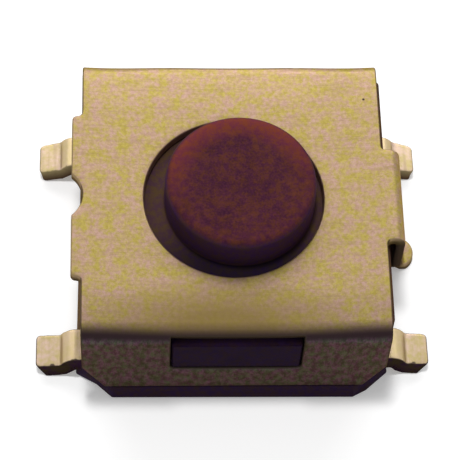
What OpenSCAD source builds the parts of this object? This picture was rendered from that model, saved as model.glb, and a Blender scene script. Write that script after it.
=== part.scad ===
// Surface-mount tactile push button switch with a folded metal cover.
// Origin on the board under the middle of the switch. +X right, +Y rear, +Z up.

/* [Cover] */
// Width of the cover's top plate, left to right
cover_w = 6.2; // [5.9:0.1:6.8]
// Depth over the two skirts, front to rear
cover_d = 6.5; // [6.3:0.1:7.2]
// Height of the cover's top face above the board
cover_top = 2.72; // [2.65:0.01:3.2]
// Thickness of the cover's sheet
sheet_t = 0.2; // [0.15:0.01:0.25]
// Inside radius of the cover's bends
bend_r = 0.08; // [0.05:0.01:0.12]
// Height of the skirts' lower edges above the board
skirt_low = 0.44; // [0.36:0.02:0.6]
// Width cut off each lower corner of a skirt
skirt_cut_w = 0.5; // [0.3:0.05:0.8]
// Height cut off each lower corner of a skirt
skirt_cut_h = 0.85; // [0.4:0.05:1]
// Width of the latch window in each skirt
window_w = 2.68; // [2.2:0.02:3.2]
// Height of the strip left under the window
window_sill = 0.84; // [0.5:0.02:1]
// Corner radius of the window
window_r = 0.12; // [0.05:0.01:0.2]

/* [Carrier tab] */
// Length of the tab along the cover's left edge
tab_w = 3.8; // [3:0.1:4.4]
// How far the tab stands out from that edge
tab_reach = 0.24; // [0.2:0.02:0.4]
// Radius of the tab's inner and outer corners
tab_r = 0.1; // [0.04:0.01:0.1]
// Diameter of the pilot hole whose edge is left in the tab
pilot_d = 1.28; // [1:0.02:1.6]
// Depth of the half-round notch that the pilot hole leaves
pilot_bite = 0.22; // [0.1:0.01:0.24]

/* [Ground terminal] */
// Width of the flap that folds down the right side
flap_w = 2.16; // [1.6:0.02:2.6]
// Gap between the housing's side and the folded flap
flap_gap = 0.1; // [0.05:0.01:0.15]
// Height of the wide part's lower edge above the board
flap_low = 1.5; // [1.1:0.05:1.8]
// Width of the leg below the wide part, and of its round foot
leg_w = 0.56; // [0.5:0.02:1]
// Place of the leg's middle line, front to rear
leg_y = -0.04; // [-0.2:0.02:0.2]
// How far the round foot reaches out past the leg's outer face
foot_reach = 0.5; // [0.4:0.02:0.55]

/* [Housing] */
// How far the housing shows past each side edge of the cover's plate
side_show = 0.08; // [0.02:0.01:0.12]
// Height of the housing's underside above the board
standoff = 0.03; // [0:0.01:0.1]
// Length of each plan corner's chamfer, left to right
corner_x = 0.65; // [0.3:0.02:0.8]
// Length of each plan corner's chamfer, front to rear
corner_y = 0.5; // [0.3:0.05:0.5]
// Gap between a latch nose and each end of its window
latch_gap = 0.03; // [0.02:0.01:0.1]
// How far a latch nose stands out from the wall
latch_out = 0.19; // [0.08:0.01:0.2]
// Clearance between the housing and the cover's skirts
cover_fit = 0.02; // [0.01:0.01:0.05]

/* [Terminals] */
// How far the terminals reach out past the housing's sides
lead_reach = 0.94; // [0.9:0.02:1.3]
// Distance between the two terminals of one side, centre to centre
lead_pitch = 4.7; // [4.4:0.02:4.76]
// Width of a terminal
lead_w = 0.72; // [0.6:0.02:0.74]
// Thickness of the terminal strip
lead_t = 0.3; // [0.2:0.01:0.32]
// Rise of the terminal from its foot to where it enters the housing
lead_rise = 0.3; // [0.24:0.01:0.34]
// Flat length of a terminal's foot
lead_foot = 0.5; // [0.4:0.02:0.6]
// Slope of the terminal between its foot and the housing, in degrees
lead_slope = 65; // [50:1:70]
// Radius on a terminal's tip corners
lead_tip_r = 0.08; // [0.04:0.01:0.12]

/* [Contacts] */
// Plastic over the strips, under the dome's rim
strip_cover = 0.06; // [0.04:0.01:0.1]
// Diameter of the raised middle contact
centre_d = 0.7; // [0.5:0.02:0.9]
// Height of the middle contact above the floor of the recess
centre_proud = 0.04; // [0.02:0.01:0.05]
// Diameter of the well around the middle contact
well_d = 1.3; // [1.1:0.05:1.6]
// Width of the strip to the middle contact
tongue_w = 0.9; // [0.8:0.02:1]
// Width of the ring strip under the dome's rim
ring_w = 0.6; // [0.5:0.02:0.7]
// Width of a contact pad on the ring, along the rim, in degrees
pad_angle = 30; // [20:1:36]
// Step in from each edge of the ring to its pads
pad_inset = 0.05; // [0.03:0.01:0.1]

/* [Dome] */
// Diameter of the snap dome
dome_d = 4; // [3.8:0.05:4.2]
// Thickness of the dome
dome_t = 0.06; // [0.05:0.005:0.08]
// Clearance around the dome in its pocket
dome_fit = 0.06; // [0.03:0.01:0.1]

/* [Button] */
// Diameter of the button above the cover
button_d = 3.06; // [2.8:0.02:3.2]
// Height of the button's top above the cover
button_rise = 0.66; // [0.4:0.02:2.4]
// Radius of the button's top edge
button_edge = 0.18; // [0.05:0.01:0.2]
// Radial gap between the button and the edge of the cover's hole
hole_gap = 0.32; // [0.28:0.01:0.4]
// How far the button's flange reaches past the edge of the hole
flange_lap = 0.35; // [0.3:0.01:0.4]
// Thickness of the flange
flange_t = 0.4; // [0.3:0.02:0.5]
// Radial play of the flange in the housing
flange_play = 0.18; // [0.16:0.01:0.25]
// Running clearance above and below the button
run_gap = 0.02; // [0.01:0.01:0.03]
// Diameter of the nose that presses on the dome
nose_d = 1; // [0.7:0.05:1.3]
// Travel of the button
travel = 0.25; // [0.15:0.01:0.3]
// Gap left between the dome and the middle contact at full travel
press_gap = 0.01; // [0.01:0.01:0.03]
// Place of the button in its play, to the right
button_x = 0.115; // [-0.12:0.005:0.12]
// Place of the button in its play, to the rear
button_y = -0.035; // [-0.06:0.005:0.06]

/* [Hidden] */
$fn = 96;
// Overlap that makes a cut pass clean through, or two parts of one piece meet
eps = 0.01;

bend_out = bend_r + sheet_t;
plate_under = cover_top - sheet_t;
skirt_out = cover_d / 2;
skirt_in = skirt_out - sheet_t;
plate_edge = cover_w / 2;
sill_top = skirt_low + window_sill;
// Part of each skirt's bend, up from the skirt, that the window takes away
window_bend = 50;

housing_side = plate_edge + side_show;
wall_y = skirt_in - cover_fit;
rim_top = skirt_low - cover_fit;
latch_low = sill_top + cover_fit;
latch_w = window_w - 2 * latch_gap;

strip_top = lead_rise + lead_t;
floor_z = strip_top + strip_cover;
lead_y = lead_pitch / 2;
tip_x = housing_side + lead_reach;
slope_r = lead_rise / (2 * (1 - cos(lead_slope)));
slope_x = 2 * slope_r * sin(lead_slope);
heel_x = tip_x - lead_foot;

dome_r = dome_d / 2;
// Free height inside the dome
dome_h = centre_proud + travel + press_gap;
dome_top = floor_z + dome_h + dome_t;
// Radius of the sphere whose cap has the dome's diameter and height
dome_sphere = (dome_r * dome_r + dome_h * dome_h) / (2 * dome_h);
pad_out = dome_r + dome_fit / 2;
ring_out = pad_out + pad_inset;
ring_in = ring_out - ring_w;
// Angle past the middle line at which the ring strip ends, to the front
ring_past = 30;
pad_places = [-10, 55, 125, 190];

button_top = cover_top + button_rise;
hole_r = button_d / 2 + hole_gap;
flange_r = hole_r + flange_lap;
flange_top = plate_under - run_gap;
flange_low = flange_top - flange_t;
pocket_r = flange_r + flange_play;
pocket_low = flange_low - travel - flange_t / 4;
dome_pocket_r = dome_r + dome_fit;
nose_low = dome_top + run_gap;
boss_r = dome_r - ring_w;
boss_low = nose_low + travel + dome_h / 2;

flap_out = housing_side + flap_gap + sheet_t;
foot_bend = bend_r;
foot_tip = flap_out + foot_reach;

// Flat ring sector, from angle a0 to a1
module sector(r0, r1, a0, a1) {
    mid = (a0 + a1) / 2;
    far = 2 * r1;
    intersection() {
        difference() {
            circle(r1);
            circle(r0);
        }
        polygon([
            [0, 0],
            far * [cos(a0), sin(a0)],
            far * [cos(mid), sin(mid)],
            far * [cos(a1), sin(a1)]
        ]);
    }
}

// Rectangle between two corners, with round corners
module round_rect(x0, y0, x1, y1, r) {
    translate([x0 + r, y0])
        square([x1 - x0 - 2 * r, y1 - y0]);
    translate([x0, y0 + r])
        square([x1 - x0, y1 - y0 - 2 * r]);
    for (x = [x0 + r, x1 - r], y = [y0 + r, y1 - r])
        translate([x, y])
            circle(r);
}

// Concave fillet that fills an inside corner at the origin, towards +X and +Y
module fillet(r) {
    difference() {
        translate([-eps, -eps])
            square(r + eps);
        translate([r, r])
            circle(r);
    }
}

// Sweeps a section drawn in Y and Z along X, centred
module along_x(length) {
    rotate([90, 0, 90])
        translate([0, 0, -length / 2])
            linear_extrude(length)
                children();
}

// Sweeps a section drawn in X and Z along Y, centred
module along_y(length) {
    rotate([90, 0, 0])
        translate([0, 0, -length / 2])
            linear_extrude(length)
                children();
}

// Both sides of the middle plane X = 0
module left_and_right() {
    children();
    mirror([1, 0, 0])
        children();
}

// Both sides of the middle plane Y = 0
module front_and_rear() {
    children();
    mirror([0, 1, 0])
        children();
}

// ---- Cover: one sheet, folded down at the front, the rear and the right

module cover_section() {
    flat = skirt_out - bend_out;
    bend_z = cover_top - bend_out;
    translate([-flat, plate_under])
        square([2 * flat, sheet_t]);
    left_and_right() {
        translate([flat, bend_z])
            sector(bend_r, bend_out, 0, 90);
        translate([skirt_in, skirt_low])
            square([sheet_t, bend_z - skirt_low]);
    }
}

module skirt_outline() {
    foot_x = plate_edge - skirt_cut_w;
    cut_z = skirt_low + skirt_cut_h;
    above = cover_top + 1;
    polygon([
        [-foot_x, skirt_low], [foot_x, skirt_low],
        [plate_edge, cut_z], [plate_edge, above],
        [-plate_edge, above], [-plate_edge, cut_z]
    ]);
}

// The latch window in the rear skirt, with the part of the bend that it takes
module window() {
    bend_y = skirt_out - bend_out;
    bend_z = cover_top - bend_out;
    far = 2 * bend_out;
    along_x(window_w)
        polygon([
            [bend_y, bend_z - window_r],
            [bend_y, bend_z],
            [bend_y + far * cos(window_bend), bend_z + far * sin(window_bend)],
            [bend_y + far, bend_z],
            [bend_y + far, bend_z - window_r]
        ]);
    translate([0, bend_y + far / 2, 0])
        along_y(far)
            union() {
                round_rect(-window_w / 2, sill_top, window_w / 2, bend_z, window_r);
                translate([-window_w / 2, (sill_top + bend_z) / 2])
                    square([window_w, (bend_z - sill_top) / 2]);
            }
}

module tab_outline() {
    root = -plate_edge;
    tip = root - tab_reach;
    difference() {
        union() {
            round_rect(tip, -tab_w / 2, root + 2 * tab_r, tab_w / 2, tab_r);
            front_and_rear()
                translate([root, tab_w / 2])
                    mirror([1, 0, 0])
                        fillet(tab_r);
        }
        translate([tip + pilot_bite - pilot_d / 2, 0])
            circle(d = pilot_d);
    }
}

// Side view of the ground terminal: the wide flap, and the leg below it
module flap_outline() {
    flap_r = bend_r;
    round_rect(-flap_w / 2, flap_low, flap_w / 2, cover_top + flap_r, flap_r);
    translate([leg_y, 0]) {
        translate([-leg_w / 2, -eps])
            square([leg_w, flap_low + 2 * flap_r]);
        left_and_right()
            translate([leg_w / 2, flap_low])
                mirror([0, 1, 0])
                    fillet(flap_r);
    }
}

// End view of the ground terminal: out, down, and out again along the board
module flap_section() {
    inside = plate_edge - bend_out;
    bend_x = flap_out - bend_out;
    foot_x = flap_out + foot_bend;
    translate([inside, plate_under])
        square([bend_x - inside, sheet_t]);
    translate([bend_x, cover_top - bend_out])
        sector(bend_r, bend_out, 0, 90);
    translate([flap_out - sheet_t, foot_bend + sheet_t])
        square([sheet_t, cover_top - bend_out - foot_bend - sheet_t]);
    translate([foot_x, foot_bend + sheet_t])
        sector(foot_bend, foot_bend + sheet_t, 180, 270);
    translate([foot_x, 0])
        square([foot_tip - foot_x, sheet_t]);
}

// Plan of the ground terminal, whose foot ends in a half disc
module foot_outline() {
    foot_r = leg_w / 2;
    disc_x = foot_tip - foot_r;
    translate([0, -flap_w])
        square([flap_out, 2 * flap_w]);
    translate([0, leg_y - foot_r])
        square([disc_x, leg_w]);
    translate([disc_x, leg_y])
        circle(foot_r);
}

module ground_terminal() {
    intersection() {
        along_y(2 * flap_w)
            flap_section();
        along_x(4 * foot_tip)
            flap_outline();
        translate([0, 0, -1])
            linear_extrude(cover_top + 2)
                foot_outline();
    }
}

module cover() {
    color("tan")
    difference() {
        union() {
            intersection() {
                along_x(cover_w)
                    cover_section();
                along_y(2 * cover_d)
                    skirt_outline();
            }
            translate([0, 0, plate_under])
                linear_extrude(sheet_t)
                    tab_outline();
            ground_terminal();
        }
        front_and_rear()
            window();
        translate([0, 0, plate_under - eps])
            cylinder(r = hole_r, h = sheet_t + 2 * eps);
    }
}

// ---- Terminals: two flat strips, each with a terminal at both ends

// Points along an arc about a centre, from angle a0 to a1
function arc(centre, r, a0, a1, n = 12) =
    [for (i = [0:n]) let (a = a0 + (a1 - a0) * i / n) centre + r * [cos(a), sin(a)]];

function reversed(points) = [for (i = [len(points) - 1:-1:0]) points[i]];

// End view of the strip's right half: in at the housing, down the slope, out along the foot
function half_lead() =
    let (
        mid_t = lead_t / 2,
        entry = [heel_x - slope_x, lead_rise + mid_t - slope_r],
        heel = [heel_x, slope_r + mid_t]
    )
    concat(
        arc(entry, slope_r + mid_t, 90, 90 - lead_slope),
        arc(heel, slope_r - mid_t, 270 - lead_slope, 270),
        [[tip_x, lead_t], [tip_x, 0]],
        arc(heel, slope_r + mid_t, 270, 270 - lead_slope),
        arc(entry, slope_r - mid_t, 90 - lead_slope, 90)
    );

// End view of one strip, with a terminal at both ends
module lead_section() {
    right = half_lead();
    left = [for (p = reversed(right)) [-p.x, p.y]];
    polygon(concat(right, left));
}

module strip_with_leads() {
    intersection() {
        along_y(lead_w)
            lead_section();
        translate([0, 0, -1])
            linear_extrude(strip_top + 2)
                round_rect(-tip_x, -lead_w / 2, tip_x, lead_w / 2, lead_tip_r);
    }
}

// Strip with the two front terminals and the tongue to the middle contact
module centre_contact() {
    color("wheat") {
        translate([0, -lead_y, 0])
            strip_with_leads();
        translate([0, 0, lead_rise])
            linear_extrude(lead_t) {
                translate([-tongue_w / 2, -lead_y])
                    square([tongue_w, lead_y]);
                circle(d = tongue_w);
            }
        cylinder_from(lead_rise, floor_z + centre_proud, centre_d / 2);
    }
}

module cylinder_from(z0, z1, r) {
    translate([0, 0, z0])
        cylinder(r = r, h = z1 - z0);
}

// Strip with the two rear terminals and the ring under the dome's rim
module rim_contact() {
    color("wheat") {
        translate([0, lead_y, 0])
            strip_with_leads();
        translate([0, 0, lead_rise])
            linear_extrude(lead_t) {
                open_ring(ring_in, ring_out, ring_past);
                translate([-ring_in / 2, (ring_in + ring_out) / 2])
                    square([ring_in, lead_y - (ring_in + ring_out) / 2]);
            }
        for (a = pad_places)
            translate([0, 0, strip_top - eps])
                linear_extrude(strip_cover + eps)
                    sector(ring_in + pad_inset, pad_out, a - pad_angle / 2, a + pad_angle / 2);
    }
}

// Ring with a gap at the front, which starts at an angle past the middle line
module open_ring(r0, r1, past) {
    far = 3 * r1;
    difference() {
        circle(r1);
        circle(r0);
        polygon([[0, 0], far * [cos(past), -sin(past)], [0, -far], far * [-cos(past), -sin(past)]]);
    }
}

// ---- Housing: the moulded base, with the pocket for the dome and the button

module plan_outline() {
    x = housing_side;
    y = skirt_out;
    polygon([
        [x - corner_x, -y], [x, corner_y - y],
        [x, y - corner_y], [x - corner_x, y],
        [corner_x - x, y], [-x, y - corner_y],
        [-x, corner_y - y], [corner_x - x, -y]
    ]);
}

// The rear latch nose, with its flat hook underneath
module latch() {
    nose_top = cover_top - bend_out;
    nose_tip = nose_top - latch_out;
    inner_y = wall_y - cover_fit;
    along_x(latch_w)
        polygon([
            [inner_y, latch_low], [wall_y + latch_out, latch_low],
            [wall_y + latch_out, nose_tip], [inner_y, nose_top]
        ]);
}

module housing() {
    color([0.13, 0.11, 0.12])
    difference() {
        union() {
            translate([0, 0, standoff])
                linear_extrude(rim_top - standoff)
                    plan_outline();
            translate([0, 0, standoff])
                linear_extrude(plate_under - standoff)
                    intersection() {
                        plan_outline();
                        square([4 * housing_side, 2 * wall_y], center = true);
                    }
            front_and_rear()
                latch();
        }
        cylinder_from(pocket_low, cover_top, pocket_r);
        cylinder_from(floor_z, cover_top, dome_pocket_r);
        cylinder_from(strip_top, cover_top, well_d / 2);
        centre_contact();
        rim_contact();
    }
}

// ---- Snap dome and button

module snap_dome() {
    centre_z = floor_z + dome_h - dome_sphere;
    color("silver")
    rotate_extrude()
        intersection() {
            translate([0, centre_z])
                difference() {
                    circle(dome_sphere + dome_t, $fn = 720);
                    circle(dome_sphere, $fn = 720);
                }
            translate([0, floor_z])
                square([dome_r, dome_h + 2 * dome_t]);
        }
}

module button_section() {
    r = button_d / 2;
    difference() {
        union() {
            translate([0, flange_top - eps])
                square([r - button_edge, button_top - flange_top + eps]);
            translate([0, flange_top - eps])
                square([r, button_top - flange_top - button_edge + eps]);
            translate([r - button_edge, button_top - button_edge])
                circle(button_edge);
            translate([0, flange_low])
                square([flange_r, flange_t]);
            translate([0, boss_low])
                square([boss_r, flange_low - boss_low + eps]);
            translate([0, nose_low])
                square([nose_d / 2, boss_low - nose_low + eps]);
        }
        translate([-r, nose_low - 1])
            square([r, button_top + 2]);
    }
}

module button() {
    color([0.36, 0.14, 0.17])
    translate([button_x, button_y, 0])
        rotate_extrude()
            button_section();
}

housing();
cover();
button();
snap_dome();
centre_contact();
rim_contact();
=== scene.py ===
import bpy
import bmesh
import math
from mathutils import Matrix, Vector, noise
from mathutils.geometry import delaunay_2d_cdt


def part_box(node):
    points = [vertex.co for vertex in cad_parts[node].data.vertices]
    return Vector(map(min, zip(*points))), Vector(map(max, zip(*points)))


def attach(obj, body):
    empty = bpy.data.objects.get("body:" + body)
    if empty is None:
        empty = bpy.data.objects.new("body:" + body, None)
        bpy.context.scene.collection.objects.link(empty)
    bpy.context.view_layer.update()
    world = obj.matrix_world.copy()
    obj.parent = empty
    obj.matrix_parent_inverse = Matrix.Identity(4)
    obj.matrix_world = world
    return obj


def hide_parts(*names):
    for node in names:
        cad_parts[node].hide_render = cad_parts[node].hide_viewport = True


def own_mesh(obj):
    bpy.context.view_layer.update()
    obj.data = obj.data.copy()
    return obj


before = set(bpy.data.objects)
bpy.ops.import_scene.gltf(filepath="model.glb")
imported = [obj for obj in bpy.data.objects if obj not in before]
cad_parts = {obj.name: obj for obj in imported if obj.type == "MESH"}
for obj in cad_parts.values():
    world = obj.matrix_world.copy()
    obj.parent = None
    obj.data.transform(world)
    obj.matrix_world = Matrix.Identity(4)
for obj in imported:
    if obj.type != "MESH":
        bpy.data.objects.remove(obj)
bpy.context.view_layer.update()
mm = 0.001     # pieces are built in millimetres and scaled once, when they are finished
tiny = 1e-5    # a length in millimetres that counts as none
point = 0.001  # the radius that stands for a point, where a profile meets its axis

scene = bpy.context.scene
scene.view_settings.view_transform = "Standard"


def boxInMm(node):
    low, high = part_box(node)
    return low / mm, high / mm


coverLow, coverHigh = boxInMm("cover")
housingLow, housingHigh = boxInMm("housing")
buttonLow, buttonHigh = boxInMm("button")
stripHigh = boxInMm("rim_contact")[1]
centreHigh = boxInMm("centre_contact")[1]
domeLow, domeHigh = boxInMm("snap_dome")
print("frame loaded:", len(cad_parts), "nodes")


# Node helpers

def addNode(tree, kind, settings=None, inputs=None):
    node = tree.nodes.new("ShaderNode" + kind)
    for name, value in (settings or {}).items():
        setattr(node, name, value)
    for name, value in (inputs or {}).items():
        if isinstance(value, bpy.types.NodeSocket):
            tree.links.new(value, node.inputs[name])
        else:
            node.inputs[name].default_value = value
    return node


def maths(tree, operation, a, b=0.0, clamp=False):
    settings = {"operation": operation, "use_clamp": clamp}
    return addNode(tree, "Math", settings, {0: a, 1: b}).outputs[0]


def times(tree, a, b, clamp=False):
    return maths(tree, "MULTIPLY", a, b, clamp)


def plus(tree, a, b, clamp=False):
    return maths(tree, "ADD", a, b, clamp)


def minus(tree, a, b, clamp=False):
    return maths(tree, "SUBTRACT", a, b, clamp)


def weighed(tree, share, a, b):
    # that share of a, and the rest from b
    return plus(tree, times(tree, a, share), times(tree, b, 1 - share))


def remap(tree, value, fromLow, fromHigh, toLow=0.0, toHigh=1.0):
    inputs = {"Value": value, "From Min": fromLow, "From Max": fromHigh, "To Min": toLow, "To Max": toHigh}
    return addNode(tree, "MapRange", {}, inputs).outputs["Result"]


def mixColour(tree, factor, a, b, blend="MIX"):
    settings = {"data_type": "RGBA", "blend_type": blend, "clamp_factor": True}
    a, b = (v if isinstance(v, bpy.types.NodeSocket) else (*v, 1) for v in (a, b))
    return addNode(tree, "Mix", settings, {0: factor, 6: a, 7: b}).outputs[2]


def noiseValue(tree, vector, scale, detail=2.0, rough=0.5):
    inputs = {"Vector": vector, "Scale": scale, "Detail": detail, "Roughness": rough}
    return addNode(tree, "TexNoise", {}, inputs).outputs["Fac"]


def vectorMaths(tree, operation, a, b=(0, 0, 0)):
    return addNode(tree, "VectorMath", {"operation": operation}, {0: a, 1: b}).outputs


def stretched(tree, vector, factors):
    return vectorMaths(tree, "MULTIPLY", vector, factors)["Vector"]


def lengthOf(tree, vector):
    return vectorMaths(tree, "LENGTH", vector)["Value"]


def split(tree, vector):
    return addNode(tree, "SeparateXYZ", {}, {"Vector": vector}).outputs


def newGroup(name, inputs, outputs):
    tree = bpy.data.node_groups.new(name, "ShaderNodeTree")
    for socket, kind, value in inputs:
        made = tree.interface.new_socket(socket, in_out="INPUT", socket_type="NodeSocket" + kind)
        if value is not None:
            made.default_value = value
    for socket, kind in outputs:
        tree.interface.new_socket(socket, in_out="OUTPUT", socket_type="NodeSocket" + kind)
    return tree, tree.nodes.new("NodeGroupInput").outputs, tree.nodes.new("NodeGroupOutput").inputs


def placeGroup(tree, group, inputs):
    return addNode(tree, "Group", {"node_tree": group}, inputs).outputs


def newMaterial(name, plain):
    # plain values are the same all over the surface, and go on the shader's own sockets
    material = bpy.data.materials.new(name)
    material.use_nodes = True
    shader = material.node_tree.nodes["Principled BSDF"]
    for socket, value in plain.items():
        shader.inputs[socket].default_value = value
    return material, material.node_tree, shader


def wireUp(tree, shader, colour, rough, normal):
    for socket, value in (("Base Color", colour), ("Roughness", rough), ("Normal", normal)):
        tree.links.new(value, shader.inputs[socket])


# Camera

cameraValues = {
    "target": (-0.028, 0.027, 1.213),
    "distance": 46.0,
    "azimuth": -5.46,
    "elevation": 60.64,
    "roll": 4.58,
    "lens": 170.04,
    "sensor": 36.0,
    "clip": (0.5, 5000.0),
}


def placeCamera(values):
    azimuth, elevation, roll = (math.radians(values[k]) for k in ("azimuth", "elevation", "roll"))
    level = math.cos(elevation)
    back = Vector((math.sin(azimuth) * level, -math.cos(azimuth) * level, math.sin(elevation)))
    side = Vector((math.cos(azimuth), math.sin(azimuth), 0))
    rise = back.cross(side)
    right = side * math.cos(roll) + rise * math.sin(roll)
    up = rise * math.cos(roll) - side * math.sin(roll)
    data = bpy.data.cameras.new("camera")
    data.lens = values["lens"]
    data.sensor_width = values["sensor"]
    data.clip_start, data.clip_end = (distance * mm for distance in values["clip"])
    camera = bpy.data.objects.new("camera", data)
    scene.collection.objects.link(camera)
    turn = Matrix((right, up, back)).transposed().to_4x4()
    place = (Vector(values["target"]) + back * values["distance"]) * mm
    camera.matrix_world = Matrix.Translation(place) @ turn
    scene.camera = camera


placeCamera(cameraValues)
print("camera placed")


# Stage: a pale floor and soft lamps

stageValues = {
    "floorSize": 900.0,
    "floorColour": (0.88, 0.88, 0.88),
    "floorLift": 0.27,
    "worldColour": (1.0, 1.0, 1.0),
    "worldLight": 0.3,
    "keyFrom": (-8, 7.5, 120),
    "keySize": (16.0, 16.0),
    "keyBrightness": 92.2,
    "rearFrom": (2, 100, 83),
    "rearSize": (200.0, 60.0),
    "rearBrightness": 2.8,
}


def areaLamp(name, place, size, brightness, mirrored):
    place = Vector(place)
    data = bpy.data.lights.new(name, "AREA")
    data.shape = "RECTANGLE"
    data.size, data.size_y = size[0] * mm, size[1] * mm
    data.energy = brightness * math.pi * data.size * data.size_y
    lamp = bpy.data.objects.new(name, data)
    scene.collection.objects.link(lamp)
    lamp.location = place * mm
    lamp.rotation_euler = place.to_track_quat("Z", "Y").to_euler()
    lamp.visible_glossy = mirrored


def seenRays(tree):
    # 1 for camera, glossy and transmission rays, 0 for the light that falls on things
    path = addNode(tree, "LightPath").outputs
    seen = path["Is Camera Ray"]
    for ray in ("Is Glossy Ray", "Is Transmission Ray"):
        seen = maths(tree, "MAXIMUM", seen, path[ray])
    return seen


def buildStage(values):
    world = bpy.data.worlds.new("studio")
    world.use_nodes = True
    scene.world = world
    tree = world.node_tree
    background = tree.nodes["Background"].inputs
    background["Color"].default_value = (*values["worldColour"], 1)
    tree.links.new(remap(tree, seenRays(tree), 0.0, 1.0, values["worldLight"]), background["Strength"])

    half = values["floorSize"] / 2 * mm
    corners = [(x * half, y * half, 0) for x, y in ((-1, -1), (1, -1), (1, 1), (-1, 1))]
    mesh = bpy.data.meshes.new("floor")
    mesh.from_pydata(corners, [], [(0, 1, 2, 3)])
    floor = bpy.data.objects.new("floor", mesh)
    scene.collection.objects.link(floor)

    paper, tree, shader = newMaterial("paper", {
        "Base Color": (*values["floorColour"], 1), "Roughness": 1.0, "Specular IOR Level": 0.0})
    lift = times(tree, seenRays(tree), values["floorLift"])
    glow = addNode(tree, "Emission", {}, {"Strength": lift}).outputs["Emission"]
    both = addNode(tree, "AddShader", {}, {0: shader.outputs["BSDF"], 1: glow}).outputs[0]
    tree.links.new(both, tree.nodes["Material Output"].inputs["Surface"])
    mesh.materials.append(paper)

    areaLamp("key", values["keyFrom"], values["keySize"], values["keyBrightness"], False)
    areaLamp("rear", values["rearFrom"], values["rearSize"], values["rearBrightness"], True)


buildStage(stageValues)
print("stage built")


# Outlines, drawn flat in millimetres, with the metal or plastic on their left

def roundedLoop(corners, step):
    # corners are (x, y, radius); the loop's points come out at most a step apart
    points = []
    for i, (x, y, radius) in enumerate(corners):
        here = Vector((x, y))
        before = (Vector(corners[i - 1][:2]) - here).normalized()
        after = (Vector(corners[(i + 1) % len(corners)][:2]) - here).normalized()
        half = before.angle(after) / 2
        if radius <= 0 or half > math.radians(89):
            points.append(here)
            continue
        reach = radius / math.tan(half)
        centre = here + (before + after).normalized() * radius / math.sin(half)
        start = here + before * reach - centre
        end = here + after * reach - centre
        turn = math.copysign(start.angle(end), start.x * end.y - start.y * end.x)
        count = max(3, math.ceil(abs(turn) * radius / step))
        base = math.atan2(start.y, start.x)
        for k in range(count + 1):
            angle = base + turn * k / count
            points.append(centre + radius * Vector((math.cos(angle), math.sin(angle))))
    loop = []
    for i, point in enumerate(points):
        following = points[(i + 1) % len(points)]
        length = (following - point).length
        if length > tiny:
            count = max(1, math.ceil(length / step))
            loop += [point.lerp(following, k / count) for k in range(count)]
    return loop


def circleLoop(x, y, radius, step, clockwise=False):
    count = math.ceil(2 * math.pi * radius / step)
    turn = -2 * math.pi / count if clockwise else 2 * math.pi / count
    return [Vector((x + radius * math.cos(turn * k), y + radius * math.sin(turn * k))) for k in range(count)]


def ringAt(radius, z, count, x=0.0, y=0.0):
    turn = 2 * math.pi / count
    return [(x + radius * math.cos(turn * k), y + radius * math.sin(turn * k), z) for k in range(count)]


def inwardSteps(loop):
    # for each point, the step that moves both its edges inward by one unit
    steps = []
    for i, here in enumerate(loop):
        first = (here - loop[i - 1]).normalized()
        second = (loop[(i + 1) % len(loop)] - here).normalized()
        a, b = Vector((-first.y, first.x)), Vector((-second.y, second.x))
        steps.append((a + b) / max(0.35, 1 + a.dot(b)))
    return steps


def insideLoops(point, loops):
    odd = False
    for loop in loops:
        for i, b in enumerate(loop):
            a = loop[i - 1]
            if (a.y > point.y) != (b.y > point.y):
                if point.x < a.x + (b.x - a.x) * (point.y - a.y) / (b.y - a.y):
                    odd = not odd
    return odd


def innerGrid(loops, columns, rows, clear):
    # grid points inside the loops that keep clear of their edges
    cells = {}
    for loop in loops:
        for p in loop:
            cells.setdefault((math.floor(p.x / clear), math.floor(p.y / clear)), []).append(p)
    points = []
    for x in columns:
        for y in rows:
            p = Vector((x, y))
            column, row = math.floor(x / clear), math.floor(y / clear)
            near = [q for i in (-1, 0, 1) for j in (-1, 0, 1) for q in cells.get((column + i, row + j), [])]
            if all((p - q).length > clear for q in near) and insideLoops(p, loops):
                points.append(p)
    return points


def spread(start, end, step):
    count = max(1, math.ceil(abs(end - start) / step))
    return [start + (end - start) * k / count for k in range(count + 1)]


def smooth(value, low, high):
    share = min(1.0, max(0.0, (value - low) / (high - low)))
    return share * share * (3 - 2 * share)


# Folds: the path of a sheet's outer face past the edge of its flat part

def foldPath(start, height, pieces):
    # a piece is ("straight", length) or ("bend", outer face's radius, degrees), down where negative
    path, s, out, z, heading = [], 0.0, start, height, 0.0
    for piece in pieces:
        radius, turn = (piece[1], math.radians(piece[2])) if piece[0] == "bend" else (0.0, 0.0)
        length = radius * abs(turn) if radius else piece[1]
        path.append({
            "s": s, "length": length, "out": out, "z": z, "heading": heading, "radius": radius, "turn": turn})
        out, z, heading = pathPoint(path[-1], length)
        s += length
    return path


def pathPoint(piece, along):
    heading, radius = piece["heading"], piece["radius"]
    if not radius:
        return piece["out"] + along * math.cos(heading), piece["z"] + along * math.sin(heading), heading
    sign = math.copysign(1, piece["turn"])
    later = heading + sign * along / radius
    out = piece["out"] + radius * sign * (math.sin(later) - math.sin(heading))
    z = piece["z"] - radius * sign * (math.cos(later) - math.cos(heading))
    return out, z, later


def alongPath(path, s, depth):
    # place of a point that far along the outer face and that deep in the sheet
    piece = [p for p in path if p["s"] <= s + 1e-9][-1]
    out, z, heading = pathPoint(piece, s - piece["s"])
    return out + depth * math.sin(heading), z - depth * math.cos(heading)


def pathEnd(path):
    return path[-1]["s"] + path[-1]["length"]


def pathStations(path, step, fine):
    # where the grid's rows cross the path, closer together in its tight bends
    marks = [pathEnd(path)]
    for piece in path:
        tight = 0 < piece["radius"] < 2
        marks += spread(piece["s"], piece["s"] + piece["length"], fine if tight else step)[:-1]
    return sorted(marks)


# Sheets: cut flat with a rolled top edge and a sharp burr side, then folded point by point

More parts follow.
